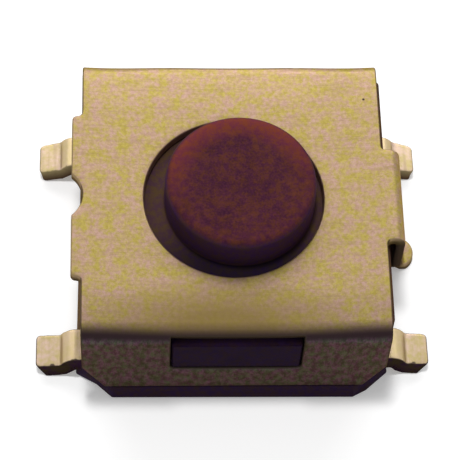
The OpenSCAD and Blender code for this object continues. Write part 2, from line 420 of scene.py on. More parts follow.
def cutEdge(thick, roll, slant, burr=0.012):
    # (how far in, how deep) of each ring of the sheared edge, which slants outward to its burr
    angles = [math.pi / 8 * k for k in range(5)]
    rolled = [(roll * (1 - math.sin(a)), roll * (1 - math.cos(a))) for a in angles]
    return rolled + [(0.0, (roll + thick) / 2.4), (-slant, thick - burr), (burr - slant, thick)]


def fillOutline(bm, loops, corners, grid=(), newVertex=None):
    # triangles between the loops, whose vertices are the corners, and over the grid's points
    outline = [p for loop in loops for p in loop]
    edges, first = [], 0
    for loop in loops:
        edges += [(first + i, first + (i + 1) % len(loop)) for i in range(len(loop))]
        first += len(loop)
    points, _, cells, sources = delaunay_2d_cdt(outline + list(grid), edges, [], 1, 1e-6, True)[:4]
    vertices = {i: corners[s[0]] for i, s in enumerate(sources) if s and s[0] < len(outline)}
    for cell in cells:
        a, b, c = (points[i] for i in cell)
        thin = abs((b - a).cross(c - a)) < tiny * max((b - a).length, (c - a).length, (c - b).length)
        if not thin and insideLoops((a + b + c) / 3, loops):
            for i in cell:
                if i not in vertices:
                    vertices[i] = newVertex(points[i])
            if len({vertices[i] for i in cell}) == 3:
                bm.faces.new([vertices[i] for i in cell])


def addSheet(bm, loops, grid, edge, place):
    # place(u, v, depth, cut) gives a point's place in space and its marks
    flatLayer = bm.verts.layers.float_vector["flatPlace"]
    markLayer = bm.verts.layers.float_vector["marks"]

    def vertexAt(u, v, depth, cut):
        where, marks = place(u, v, depth, cut)
        vertex = bm.verts.new(where)
        vertex[flatLayer] = (u, v, depth)
        vertex[markLayer] = marks
        return vertex

    steps = [inwardSteps(loop) for loop in loops]
    rings = []
    for i, (inset, depth) in enumerate(edge):
        cut = 0.0 if i in (0, len(edge) - 1) else min(1.0, i / 2)
        flat = [[p + s * inset for p, s in zip(loop, step)] for loop, step in zip(loops, steps)]
        rings.append((flat, [[vertexAt(p.x, p.y, depth, cut) for p in loop] for loop in flat]))
    for (_, upper), (_, lower) in zip(rings, rings[1:]):
        for a, b in zip(upper, lower):
            for i in range(len(a)):
                bm.faces.new((a[i - 1], b[i - 1], b[i], a[i]))
    for (flat, ring), (_, depth) in ((rings[0], edge[0]), (rings[-1], edge[-1])):
        corners = [v for loop in ring for v in loop]
        fillOutline(bm, flat, corners, grid, lambda p: vertexAt(p.x, p.y, depth, 0.0))


def newBlank():
    bm = bmesh.new()
    bm.verts.layers.float_vector.new("flatPlace")
    bm.verts.layers.float_vector.new("marks")
    return bm


def addLoft(bm, rings, close=True):
    # rings of points with the same count, joined one after another
    made = [[bm.verts.new(p) for p in ring] for ring in rings]
    for a, b in zip(made, made[1:]):
        for i in range(len(a)):
            bm.faces.new((a[i - 1], a[i], b[i], b[i - 1]))
    if close:
        bm.faces.new(list(reversed(made[0])))
        bm.faces.new(made[-1])
    return made


def finishPiece(name, bm, body, slot, material, *nodes, weighted=True):
    bmesh.ops.recalc_face_normals(bm, faces=bm.faces)
    mesh = bpy.data.meshes.new(name)
    bm.to_mesh(mesh)
    bm.free()
    mesh.transform(Matrix.Scale(mm, 4))
    mesh.shade_smooth()
    mesh.materials.append(material)
    piece = bpy.data.objects.new(name, mesh)
    scene.collection.objects.link(piece)
    if weighted:
        normals = piece.modifiers.new("weighted normals", "WEIGHTED_NORMAL")
        normals.weight = 60
        normals.keep_sharp = True
    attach(piece, body)
    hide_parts(*nodes)
    print(name, "built:", len(mesh.polygons), "faces")
    return piece


# Effects that several finishes share

def buildRolledGrain():
    # fine lines along the sheet's rolling direction
    group, given, gives = newGroup(
        "rolledGrain",
        [("Place", "Vector", None), ("Line Length", "Float", 2.0), ("Line Width", "Float", 0.03)],
        [("Lines", "Float"), ("Height", "Float")])
    along, across = (maths(group, "DIVIDE", 1.0, given[size]) for size in ("Line Length", "Line Width"))
    scale = addNode(group, "CombineXYZ", {}, {"X": along, "Y": across, "Z": across}).outputs[0]
    place = stretched(group, given["Place"], scale)
    fine = noiseValue(group, place, 1.0, 3.0, 0.6)
    wide = noiseValue(group, stretched(group, place, (0.6, 0.22, 0.22)), 1.0)
    lines = weighed(group, 0.6, fine, wide)
    group.links.new(remap(group, lines, 0.34, 0.66), gives["Lines"])
    group.links.new(fine, gives["Height"])
    return group


def buildBlotches():
    # soft patches of two sizes, for uneven plating and handling marks
    group, given, gives = newGroup(
        "blotches",
        [("Place", "Vector", None), ("Patch Size", "Float", 0.5), ("Contrast", "Float", 0.5)],
        [("Patches", "Float")])
    scale = maths(group, "DIVIDE", 1.0, given["Patch Size"])
    large = noiseValue(group, given["Place"], scale, 2.0, 0.55)
    small = noiseValue(group, given["Place"], times(group, scale, 3.7), 2.0, 0.6)
    centred = minus(group, weighed(group, 0.6, large, small), 0.5)
    contrasted = times(group, centred, times(group, given["Contrast"], 8.0))
    group.links.new(plus(group, contrasted, 0.5, clamp=True), gives["Patches"])
    return group


def buildMouldSkin():
    # the fine spark-eroded texture that a mould leaves on plastic
    group, given, gives = newGroup(
        "mouldSkin",
        [("Place", "Vector", None), ("Grain Size", "Float", 0.03)],
        [("Grain", "Float"), ("Height", "Float")])
    scale = maths(group, "DIVIDE", 1.0, given["Grain Size"])
    fine = noiseValue(group, given["Place"], scale, 3.0, 0.6)
    coarse = noiseValue(group, given["Place"], times(group, scale, 0.3))
    skin = weighed(group, 0.65, fine, coarse)
    group.links.new(remap(group, skin, 0.3, 0.7), gives["Grain"])
    group.links.new(skin, gives["Height"])
    return group


rolledGrain = buildRolledGrain()
blotches = buildBlotches()
mouldSkin = buildMouldSkin()
print("shared effects built")


def grainLines(tree, place, size):
    return placeGroup(tree, rolledGrain, {"Place": place, "Line Length": size[0], "Line Width": size[1]})


def patchMasks(tree, place, values, *names):
    # each name's value is its patches' size and contrast
    inputs = [{"Place": place, "Patch Size": values[k][0], "Contrast": values[k][1]} for k in names]
    return [placeGroup(tree, blotches, given)["Patches"] for given in inputs]


def bumpFrom(tree, height, depth):
    # depth is the relief in millimetres
    inputs = {"Height": height, "Distance": depth * mm, "Strength": 1.0}
    return addNode(tree, "Bump", {}, inputs).outputs["Normal"]


def flatPlace(tree):
    return addNode(tree, "Attribute", {"attribute_name": "flatPlace"}).outputs["Vector"]


def pieceMarks(tree):
    # the three masks that a piece's own points carry
    return split(tree, addNode(tree, "Attribute", {"attribute_name": "marks"}).outputs["Vector"])


def placeInMm(tree):
    coordinates = addNode(tree, "TexCoord").outputs["Object"]
    return stretched(tree, coordinates, (1 / mm, 1 / mm, 1 / mm))


# Plated sheet of the cover, whose marks are cut edge, and the painted shade along the bends and on the
# folded-down faces

platingValues = {
    "metallic": 0.95,
    "grazing": (0.55, 0.42, 0.28),     # its tint where it is seen nearly edge-on
    "roughness": (0.48, 0.4),          # between the rolling lines and on them
    "lineSize": (0.9, 0.04),           # length and width
    "lineDepth": 0.001,
    "line": (0.22, 0.155, 0.08),
    "lineShare": 0.3,
    "lineEnd": 0.5,
    "warm": (0.388, 0.254, 0.206),
    "yellow": (0.352, 0.282, 0.074),
    "patches": (0.27, 0.62),           # size and contrast, as in the other three
    "flecks": (0.085, 0.6),
    "fleck": (0.79, 0.77, 0.66),       # what a fleck takes off the colour
    "speck": (2.79, 2.31, 0.0),
    "speckReach": (0.035, 0.0175),     # radius where it starts and where it is full
    # painted shade on the plate in front of the button
    "frontShadePlace": (-0.3, -2.95, 0.0),
    "frontShadeReach": (0.34, 0.9, 0.0),  # one over its half width and half height
    "frontShadeFade": (1.0, 0.25),
    "frontShade": 0.8,
    "frontShadeTone": (0.19, 0.131, 0.043),
    # the skirts' dark tones are painted shade on the folded-down faces, mottled at random
    "skirt": (0.106, 0.059, 0.085),
    "skirtGreen": (0.069, 0.077, 0.055),
    "mottle": (0.14, 0.9),
    "mottleStretch": (1.0, 0.5, 1.0),
    "skirtCloud": (0.48, 0.48, 0.5),
    "clouds": (0.11, 0.7),
    # painted shade along the bends, also the speck's colour
    "bend": (0.027, 0.016, 0.019),
    "bareSteel": (0.045, 0.034, 0.025),
    "shearedSide": (0.28, 0.205, 0.12),
    "sidesFrom": (3.13, 3.16),         # where the cover's left and right edges start
    "shearDepth": (0.05, 0.13),        # their plating is smeared down to this depth
    "flapCut": (3.22, 3.5),            # where the flap's sheared edge turns dark
    "footCut": (5.8, 5.95),            # and where the foot's is plated again
    # painted light on the hole's shaded sheared wall
    "holeCut": (0.25, 0.14, 0.12),
    "holeReach": (2.0, 1.95),
    "cutShare": 0.85,
    "cutRough": 0.15,                  # how much rougher a sheared edge is
}


def buildPlating(values):
    plain = {"Metallic": values["metallic"], "Specular Tint": (*values["grazing"], 1)}
    material, tree, shader = newMaterial("tinPlating", plain)
    place, marks = flatPlace(tree), pieceMarks(tree)
    parts = split(tree, place)
    grain = grainLines(tree, place, values["lineSize"])
    # the plate: two tones in patches, flecks, rolling lines, one speck, and a painted shade in front of the
    # button
    patches, flecks = patchMasks(tree, place, values, "patches", "flecks")
    colour = mixColour(tree, patches, values["warm"], values["yellow"])
    colour = mixColour(tree, flecks, colour, values["fleck"], "MULTIPLY")
    lines = remap(tree, grain["Lines"], 0.0, values["lineEnd"], values["lineShare"], 0.0)
    colour = mixColour(tree, lines, colour, values["line"])
    fromSpeck = vectorMaths(tree, "DISTANCE", place, values["speck"])["Value"]
    colour = mixColour(tree, remap(tree, fromSpeck, *values["speckReach"]), colour, values["bend"])
    spot = vectorMaths(tree, "SUBTRACT", place, values["frontShadePlace"])["Vector"]
    fromSpot = lengthOf(tree, stretched(tree, spot, values["frontShadeReach"]))
    frontShade = remap(tree, fromSpot, *values["frontShadeFade"], 0.0, values["frontShade"])
    colour = mixColour(tree, frontShade, colour, values["frontShadeTone"])
    # painted shade on the skirts, and along their bends
    downSkirt = stretched(tree, place, values["mottleStretch"])
    mottle, clouds = patchMasks(tree, downSkirt, values, "mottle", "clouds")
    down = mixColour(tree, mottle, values["skirt"], values["skirtGreen"])
    down = mixColour(tree, clouds, down, values["skirtCloud"], "MULTIPLY")
    colour = mixColour(tree, marks["Z"], colour, down)
    colour = mixColour(tree, marks["Y"], colour, values["bend"])
    # the sheared edges: bare steel, but with smeared plating at the sides, and painted light on the hole's
    # shaded wall
    sides = remap(tree, maths(tree, "ABSOLUTE", parts["X"]), *values["sidesFrom"])
    flapCut, footCut = (remap(tree, parts["X"], *values[name]) for name in ("flapCut", "footCut"))
    sides = minus(tree, sides, minus(tree, flapCut, footCut), clamp=True)
    bare = remap(tree, parts["Z"], *values["shearDepth"])
    cut = mixColour(tree, bare, values["shearedSide"], values["bareSteel"])
    cut = mixColour(tree, sides, values["bareSteel"], cut)
    fromMiddle = lengthOf(tree, stretched(tree, place, (1, 1, 0)))
    cut = mixColour(tree, remap(tree, fromMiddle, *values["holeReach"]), cut, values["holeCut"])
    colour = mixColour(tree, times(tree, marks["X"], values["cutShare"]), colour, cut)
    rough = remap(tree, grain["Lines"], 0.0, 1.0, *values["roughness"])
    rough = plus(tree, rough, times(tree, marks["X"], values["cutRough"]))
    wireUp(tree, shader, colour, rough, bumpFrom(tree, grain["Height"], values["lineDepth"]))
    return material


tinPlating = buildPlating(platingValues)


# Plastics of the housing and the button

housingFinish = {
    "specular": 0.012,
    "roughness": (0.5, 0.65),
    "grainSize": 0.035,
    "grainDepth": 0.004,
    "grainShare": 0.6,
    "patches": (0.5, 0.35),            # size and contrast
    "flecks": (0.16, 0.7),
    "cool": (0.88, 0.84, 1.34),        # the two tints that the pigment's flecks give
    "warm": (1.12, 1.16, 0.68),
    "dark": (0.012, 0.005, 0.014),
    "light": (0.024, 0.01, 0.027),
    "low": (0.03, 0.0145, 0.032),
    "lowFrom": (0.5, 0.44),
    "rubbed": (0.138, 0.072, 0.022),   # the ends, brown where they show beside the cover
    "endsFrom": (3.05, 3.09),
    "rubbedHalf": (2.3, 1.7),          # how far from their middle the ends are brown
    "rimHeight": (0.6, 0.42),
    "rubbedWall": 0.22,                # how much of the brown the wall above the rim has
    "topHeight": (2.1, 2.4),
    "rubbedTop": 0.5,                  # and the wall's top
    "rubbedEdge": 0.35,                # how uneven its limits are
}
buttonFinish = {
    "specular": 0.02,
    "roughness": (0.45, 0.6),
    "grainSize": 0.045,
    "grainDepth": 0.003,
    "grainShare": 0.6,
    "patches": (0.5, 0.35),
    "flecks": (0.15, 0.7),
    "cool": (0.9, 0.8, 1.36),
    "warm": (1.1, 1.2, 0.68),
    "dark": (0.026, 0.008, 0.014),
    "light": (0.106, 0.029, 0.032),
    # painted highlight on the rim, strongest toward the rear, faint all round
    "rim": (0.15, 0.031, 0.028),
    # painted shade on the stem's side
    "side": (0.055, 0.024, 0.053),
    "below": (0.068, 0.036, 0.03),
    "deep": (0.016, 0.009, 0.018),     # painted shadow of the stem on the flange's front, under the hole's edge
}


def housingTones(tree, values, place, patches, colour):
    parts = split(tree, place)
    colour = mixColour(tree, remap(tree, parts["Z"], *values["lowFrom"]), colour, values["low"])
    fromMiddle, beside = (maths(tree, "ABSOLUTE", parts[axis]) for axis in "XY")
    uneven = times(tree, minus(tree, patches, 0.5), values["rubbedEdge"])
    between = remap(tree, plus(tree, beside, uneven), *values["rubbedHalf"])
    onRim = remap(tree, parts["Z"], *values["rimHeight"], values["rubbedWall"], 1.0)
    atTop = remap(tree, plus(tree, parts["Z"], uneven), *values["topHeight"], 0.0, values["rubbedTop"])
    rubbed = maths(tree, "MAXIMUM", times(tree, between, onRim), atTop)
    atEnds = remap(tree, fromMiddle, *values["endsFrom"])
    return mixColour(tree, times(tree, atEnds, rubbed), colour, values["rubbed"])


def buttonTones(tree, values, place, patches, colour):
    # marks are the rim's painted highlight, what lies below the plate, where above 1 is the stem's painted
    # shadow up to 2, and the side's painted shade
    marks = pieceMarks(tree)
    colour = mixColour(tree, marks["X"], colour, values["rim"])
    colour = mixColour(tree, marks["Y"], colour, values["below"])
    # painted shadow of the stem, darkest on the flange's front
    colour = mixColour(tree, remap(tree, marks["Y"], 1.0, 2.0), colour, values["deep"])
    return mixColour(tree, marks["Z"], colour, values["side"])


def buildPlastic(name, values, ownTones):
    material, tree, shader = newMaterial(name, {"Specular IOR Level": values["specular"]})
    place = placeInMm(tree)
    skin = placeGroup(tree, mouldSkin, {"Place": place, "Grain Size": values["grainSize"]})
    patches, flecks = patchMasks(tree, place, values, "patches", "flecks")
    shade = weighed(tree, values["grainShare"], skin["Grain"], patches)
    colour = mixColour(tree, shade, values["dark"], values["light"])
    colour = ownTones(tree, values, place, patches, colour)
    tints = mixColour(tree, flecks, values["cool"], values["warm"])
    colour = mixColour(tree, 1.0, colour, tints, "MULTIPLY")
    rough = remap(tree, skin["Grain"], 0.0, 1.0, *values["roughness"])
    wireUp(tree, shader, colour, rough, bumpFrom(tree, skin["Height"], values["grainDepth"]))
    return material


housingPlastic = buildPlastic("housingPlastic", housingFinish, housingTones)
buttonPlastic = buildPlastic("buttonPlastic", buttonFinish, buttonTones)


# Spring steel of the dome

springFinish = {
    "roughness": (0.32, 0.22),
    "lineSize": (1.5, 0.03),
    "lineDepth": 0.001,
    "dark": (0.5, 0.5, 0.5),
    "light": (0.68, 0.68, 0.67),
}


def buildSpringSteel(values):
    material, tree, shader = newMaterial("springSteel", {"Metallic": 1.0})
    grain = grainLines(tree, placeInMm(tree), values["lineSize"])
    colour = mixColour(tree, grain["Lines"], values["dark"], values["light"])
    rough = remap(tree, grain["Lines"], 0.0, 1.0, *values["roughness"])
    wireUp(tree, shader, colour, rough, bumpFrom(tree, grain["Height"], values["lineDepth"]))
    return material


springSteel = buildSpringSteel(springFinish)
print("finishes built")


# Cover: one folded sheet

coverValues = {
    "plateWidth": 6.2,
    "leftOver": 0.033,        # the left edges stand out that much more
    "sheet": 0.2,
    "bend": 0.08,             # inside radius of the skirts' bends
    "flapBend": 0.05,
    "frontShoulder": (0.95, 9.0),   # length and degrees of the soft roll before the skirt's bend
    "rearShoulder": (0.95, 3.0),
    "edgeRoll": 0.035,
    "edgeSlant": 0.008,
    "skirtLong": 3.0,         # longer than any skirt, which the outline cuts off
    "skirtLow": 0.44,
    "skirtCut": (0.42, 0.85),  # width and height cut off the skirts' lower corners
    "cutCorner": 0.04,
    "windowWidth": 2.68,
    "windowSill": 1.28,
    "windowTop": {-1: 40.0, 1: 66.0},   # degrees into the front and rear bends
    "windowCorners": (0.12, 0.02),      # below and above
    "lipFlare": 0.75,         # how much flatter the bend stays over the window
    "lipFade": (-0.3, 1.5),   # beside the window's corners
    "lipFall": 0.15,
    "holeRadius": 1.85,
    "holeMiddle": (-0.008, -0.016),
    "tabWidth": 3.8,
    "tabCorner": 0.1,
    "pilotRadius": 0.64,
    "pilotBite": 0.22,
    "pilotCorner": 0.045,
    "flapWidth": 2.16,
    "flapTaper": 0.09,
    "flapCorners": (0.11, 0.08, 0.06),  # at its front root, its end and its rear root
    "flapLow": 1.5,
    "flapOut": 3.49,
    "leanFrom": 1.45,
    "leanBend": 0.4,
    "legLean": 12.0,
    "legWidth": 0.56,
    "legMiddle": -0.03,
    "ankle": 0.08,
    "ankleCorner": 0.05,
    "footRadius": 0.37,
    "footMiddle": 0.04,
    "footArc": 65,            # degrees of its round end to each side
    "bendShadeSides": (0.105, 0.11),   # how far before the front bend its painted shade starts, at the left and the right
    "bendShadeMiddle": 0.07,          # and over the window
    "bendShadeRamp": 0.27,
    "bendShadeCurve": 2.1,
    "bendShadeEnd": (0.18, 0.345),     # where it fades into the skirt, from the bend's start
    "skirtRamp": 0.06,
    "flapTurn": (0.75, 1.1),  # shares of the flap's bend over which it takes the skirts' painted shade
    "legFade": 0.2,
    "rearClear": 0.18,        # how much of the rear bend stays bright
    "rearRamp": 0.15,
    "dish": 0.13,             # the plate's middle lies that much lower than its sides
    "dishLevel": 0.46,        # its middle sinks by this share of it, and its sides rise by the rest
    "step": 0.05,
    "gridSteps": (0.16, 0.04),     # on flat parts and in bends
    "gridClear": 0.02,
}


def pilotNotch(values, tip):
    # the half hole in the tab's edge, where the strip's pilot pin sat
    radius = values["pilotRadius"]
    middle = tip + values["pilotBite"] - radius
    reach = math.acos((tip - middle) / radius)
    points = []
    for angle in (reach * (1 - k / 12) for k in range(25)):
        corner = values["pilotCorner"] if abs(angle) == reach else 0
        points.append((middle + radius * math.cos(angle), radius * math.sin(angle), corner))
    return points


def coverOutline(values, skirtV, flapU, footEnd):
    half = values["plateWidth"] / 2
    left = -half - values["leftOver"]
    cutWide, cutHigh = values["skirtCut"]
    lowX = half - cutWide
    frontLow, rearLow = -skirtV(values["skirtLow"], -1), skirtV(values["skirtLow"], 1)
    frontCut, rearCut = -skirtV(values["skirtLow"] + cutHigh, -1), skirtV(values["skirtLow"] + cutHigh, 1)
    cutRound, ankleRound, tabRound = values["cutCorner"], values["ankleCorner"], values["tabCorner"]
    frontRoot, flapRound, rearRoot = values["flapCorners"]
    tabTip, tabHalf = coverLow.x, values["tabWidth"] / 2
    flapHalf, flapEnd = values["flapWidth"] / 2, flapU(values["flapLow"])
    legLow = values["legMiddle"] - values["legWidth"] / 2
    legHigh = values["legMiddle"] + values["legWidth"] / 2
    footX, footY, footRadius = footEnd - values["footRadius"], values["footMiddle"], values["footRadius"]
    foot = [math.radians(values["footArc"] * k / 9) for k in range(-9, 10)]
    foot = [(footX + footRadius * math.cos(a), footY + footRadius * math.sin(a), 0) for a in foot]
    ankle = foot[0][0] - values["ankle"]
    corners = [
        (-lowX, frontLow, cutRound), (lowX, frontLow, cutRound), (half, frontCut, cutRound),
        (half, -flapHalf, frontRoot), (flapEnd, -flapHalf, flapRound), (flapEnd, legLow, flapRound),
        (ankle, legLow, ankleRound), *foot, (ankle, legHigh, ankleRound),
        (flapEnd, legHigh, flapRound), (flapEnd, flapHalf - values["flapTaper"], flapRound),
        (half, flapHalf, rearRoot), (half, rearCut, cutRound),
        (lowX, rearLow, cutRound), (-lowX, rearLow, cutRound), (left, rearCut, cutRound),
        (left, tabHalf, tabRound), (tabTip, tabHalf, tabRound), *pilotNotch(values, tabTip),
        (tabTip, -tabHalf, tabRound), (left, -tabHalf, tabRound), (left, frontCut, cutRound),
    ]
    return roundedLoop(corners, values["step"])


def skirtPath(values, shoulder):
    # a soft roll, the bend, then the skirt, which ends up flush with the cover's side
    long, tilt = shoulder
    outer, lean = values["bend"] + values["sheet"], math.radians(tilt)
    start = coverHigh.y - outer * (1 - math.sin(lean)) - long / lean * math.sin(lean)
    return foldPath(start, coverHigh.z, [
        ("bend", long / lean, -tilt), ("bend", outer, tilt - 90), ("straight", values["skirtLong"])])


def flapPath(values, start, outer):
    # down at the side, then the leg leans out a little and ends in a foot on the board
    lean, heel, soft = math.radians(values["legLean"]), values["bend"], values["leanBend"]
    drop = values["leanFrom"] - values["sheet"] - soft * math.sin(lean) - heel * (1 - math.sin(lean))
    long = drop / math.cos(lean)
    out = soft * (1 - math.cos(lean)) + long * math.sin(lean) + heel * math.cos(lean)
    return foldPath(start, coverHigh.z, [
        ("bend", outer, -90), ("straight", coverHigh.z - outer - values["leanFrom"]),
        ("bend", soft, values["legLean"]), ("straight", long), ("bend", heel, 90 - values["legLean"]),
        ("straight", coverHigh.x - values["flapOut"] - out)])


def buildCover(values):
    top, thick = coverHigh.z, values["sheet"]
    half, windowHalf = values["plateWidth"] / 2, values["windowWidth"] / 2
    lowCorner, highCorner = values["windowCorners"]
    lipFrom, lipTo = (windowHalf + beside for beside in values["lipFade"])
    shoulders = {-1: "frontShoulder", 1: "rearShoulder"}
    skirts = {side: skirtPath(values, values[name]) for side, name in shoulders.items()}
    flapOuter = values["flapBend"] + thick
    flatX = values["flapOut"] - flapOuter
    flap = flapPath(values, flatX, flapOuter)

    def skirtV(z, side):
        path = skirts[side]
        return path[0]["out"] + path[2]["s"] + path[2]["z"] - z

    def flapU(z):
        return flatX + flap[1]["s"] + flap[1]["z"] - z

    def place(u, v, depth, cut):
        x, y, z, bent, down = u, v, top - depth, 0.0, 0.0
        side = -1 if v < 0 else 1
        skirt = skirts[side]
        s = abs(v) - skirt[0]["out"]
        if s > 0:
            out, z = alongPath(skirt, s, depth)
            bendStart, bendEnd = skirt[1]["s"], skirt[2]["s"]
            overWindow = 1 - smooth(abs(u), lipFrom, lipTo)
            lip = values["lipFlare"] * overWindow * (1 - smooth(s, bendStart + values["lipFall"], bendEnd))
            if s > bendStart and lip:
                lean = -skirt[1]["heading"]
                flatOut = skirt[1]["out"] + (s - bendStart) * math.cos(lean) - depth * math.sin(lean)
                flatZ = skirt[1]["z"] - (s - bendStart) * math.sin(lean) - depth * math.cos(lean)
                out, z = out + (flatOut - out) * lip, z + (flatZ - z) * lip
            y = math.copysign(out, v)
            # bent masks the painted shade along the bend
            late = s - bendStart
            if side < 0:
                early = values["bendShadeSides"][u > 0] * (1 - overWindow) + values["bendShadeMiddle"] * overWindow
                share = min(1.0, max(0.0, (late + early) / values["bendShadeRamp"]))
                bent = 1 - (1 - share) ** values["bendShadeCurve"]
            else:
                late -= values["rearClear"]
                bent = smooth(late, 0.0, values["rearRamp"])
            bent *= 1 - smooth(late, *values["bendShadeEnd"])
            # down masks the skirt's painted shade
            down = smooth(late, values["bendShadeEnd"][0] - values["skirtRamp"], values["bendShadeEnd"][0])
        elif u > flatX:
            x, z = alongPath(flap, u - flatX, depth)
            turned = u - flatX
            # down masks the flap's painted shade, as on the skirts
            down = smooth(turned, *(flap[1]["s"] * share for share in values["flapTurn"]))
            down *= 1 - smooth(turned, flap[2]["s"] - values["legFade"], flap[2]["s"])
        reach = min(1.0, max(0.0, (z - values["skirtLow"]) / (top - values["skirtLow"])))
        bow = min(1.0, abs(x) / half) ** 2
        z += values["dish"] * (bow - values["dishLevel"]) * reach
        return (x, y, z), (cut, bent, down)

    loops = [
        coverOutline(values, skirtV, flapU, flatX + pathEnd(flap)),
        circleLoop(*values["holeMiddle"], values["holeRadius"], values["step"], clockwise=True),
    ]
    step, fine = values["gridSteps"]
    rows = spread(-skirts[-1][0]["out"], skirts[1][0]["out"], step)[1:-1]
    for side in (-1, 1):
        cutAt = math.radians(values["windowTop"][side] - values[shoulders[side]][1])
        upper = side * (skirts[side][0]["out"] + skirts[side][1]["s"] + (values["bend"] + thick) * cutAt)
        sill = side * skirtV(values["windowSill"], side)
        corners = [
            (-windowHalf, sill, lowCorner), (-windowHalf, upper, highCorner),
            (windowHalf, upper, highCorner), (windowHalf, sill, lowCorner)]
        loops.append(roundedLoop(corners[::-side], values["step"]))
        stations = [skirts[side][0]["out"] + s for s in pathStations(skirts[side], step, fine)]
        rows += [side * v for v in stations if v < skirtV(values["skirtLow"], side)]
    columns = spread(coverLow.x, flatX, step) + [flatX + s for s in pathStations(flap, step, fine)[1:]]
    grid = innerGrid(loops, columns, rows, values["edgeRoll"] + values["gridClear"])
    bm = newBlank()
    addSheet(bm, loops, grid, cutEdge(thick, values["edgeRoll"], values["edgeSlant"]), place)
    return finishPiece("foldedCover", bm, "base", "plated_sheet", tinPlating, "cover")


buildCover(coverValues)


# Terminals: two strips that step down to the board at both ends

terminalValues = {
    "thick": 0.3,
    "rise": 0.3,
    "slope": 65.0,
    "width": 0.74,
    "pitch": 4.7,
    "feet": {                # length of each foot, and how far its tip points down, in degrees
        (-1, -1): (0.46, 4.0), (1, -1): (0.425, 4.0), (-1, 1): (0.45, 13.0), (1, 1): (0.445, 13.0)},
    "undercut": {-1: 0.2, 1: 0.01},    # how far the cut of the front and rear tips slants back under
    "undercutCurve": 2.4,
    "undercutReach": 2.3,
    "taper": {(-1, -1): 0.0, (1, -1): 0.03, (-1, 1): 0.08, (1, 1): 0.16},   # of each foot's rear edge
    "tipCorner": 0.1,
    "edgeRoll": 0.03,
    "edgeSlant": {-1: 0.07, 1: 0.03},
    "ragged": 0.015,
    "wave": 0.006,
    "slopeFade": 0.1,
    "tongueWidth": 0.9,
    "centreRadius": 0.35,
    "ringOut": 2.08,
    "ringWidth": 0.6,
    "ringGap": 30.0,
    "padAngles": (-10, 55, 125, 190),
    "padSpan": 30.0,
    "padInset": 0.05,
    "padRoot": 0.05,         # how deep the raised pads start in their strip
    "sunk": 0.005,           # how far the parts inside the moulding stay under their strip's faces
    "step": 0.05,
    "gridSteps": (0.1, 0.04),     # on flat parts and in bends
    "middleStep": 0.4,
    "acrossStep": 0.08,
    "gridClear": 0.02,
    "hiddenStep": 0.1,
}


# Plated strip of the terminals, whose marks are cut edge, rear row and sloped part, which carries a painted
# highlight

terminalFinish = {
    "metallic": 0.95,
    "grazing": (0.3, 0.22, 0.15),
    "roughness": (0.5, 0.35),
    "lineSize": (1.2, 0.075),
    "lineDepth": 0.003,
    "light": (0.525, 0.385, 0.305),
    "shade": (0.43, 0.35, 0.155),
    "patches": (0.3, 0.6),
    "streak": (0.36, 0.27, 0.15),
    "streakShare": 0.55,
    "streakEnd": 0.55,
    "slopeHighlight": (0.66, 0.52, 0.3),        # painted highlight on the sloped bends
    "slopeHighlightShare": 0.55,
    "cut": (0.036, 0.027, 0.014),
    "cutPatch": (0.029, 0.012, 0.034),
    "cutRough": 0.15,
    "paleCut": (0.24, 0.19, 0.1),       # the rear row's sheared side, top and bottom
    "paleCutLow": (0.09, 0.06, 0.04),
    "paleDepth": (0.02, 0.26),
    "tear": (-0.02, 0.075),             # how far in from its sheared front side the plating is torn
    "tearStretch": (5.0, 3.0, 0.0),
    "tearNoise": (0.35, 0.65),
    "tearSharpness": 40.0,
    "tornShare": 0.85,
}


def buildTerminalPlating(values, strip):
    plain = {"Metallic": values["metallic"], "Specular Tint": (*values["grazing"], 1)}
    material, tree, shader = newMaterial("terminalPlating", plain)
    place, marks = flatPlace(tree), pieceMarks(tree)
    parts = split(tree, place)
    quarterTurn = {"Vector": place, "Angle": math.pi / 2}
    acrossStrip = addNode(tree, "VectorRotate", {"rotation_type": "Z_AXIS"}, quarterTurn).outputs[0]
    grain = grainLines(tree, acrossStrip, values["lineSize"])
    patches = patchMasks(tree, place, values, "patches")[0]
    colour = mixColour(tree, patches, values["light"], values["shade"])
    streak = remap(tree, grain["Lines"], 0.0, values["streakEnd"], values["streakShare"], 0.0)
    colour = mixColour(tree, streak, colour, values["streak"])
    # painted highlight on the sloped part
    colour = mixColour(tree, times(tree, marks["Z"], values["slopeHighlightShare"]), colour, values["slopeHighlight"])
    # the plating's torn edge along the front side of each strip
    rowMiddle = remap(tree, marks["Y"], 0.0, 1.0, -strip["pitch"] / 2, strip["pitch"] / 2)
    towardFront = minus(tree, rowMiddle, parts["Y"])
    torn = noiseValue(tree, stretched(tree, place, values["tearStretch"]), 1.0, 1.5)
    edge = minus(tree, strip["width"] / 2, remap(tree, torn, *values["tearNoise"], *values["tear"]))
    sheared = times(tree, minus(tree, towardFront, edge), values["tearSharpness"], clamp=True)
    sheared = maths(tree, "MAXIMUM", times(tree, sheared, values["tornShare"]), marks["X"])
    paleDepth = remap(tree, parts["Z"], *values["paleDepth"])
    paleCut = mixColour(tree, paleDepth, values["paleCut"], values["paleCutLow"])
    cut = mixColour(tree, patches, values["cut"], values["cutPatch"])
    cut = mixColour(tree, marks["Y"], cut, paleCut)
    colour = mixColour(tree, sheared, colour, cut)
    rough = remap(tree, grain["Lines"], 0.0, 1.0, *values["roughness"])
    rough = plus(tree, rough, times(tree, sheared, values["cutRough"]))
    wireUp(tree, shader, colour, rough, bumpFrom(tree, grain["Height"], values["lineDepth"]))
    return material


terminalPlating = buildTerminalPlating(terminalFinish, terminalValues)


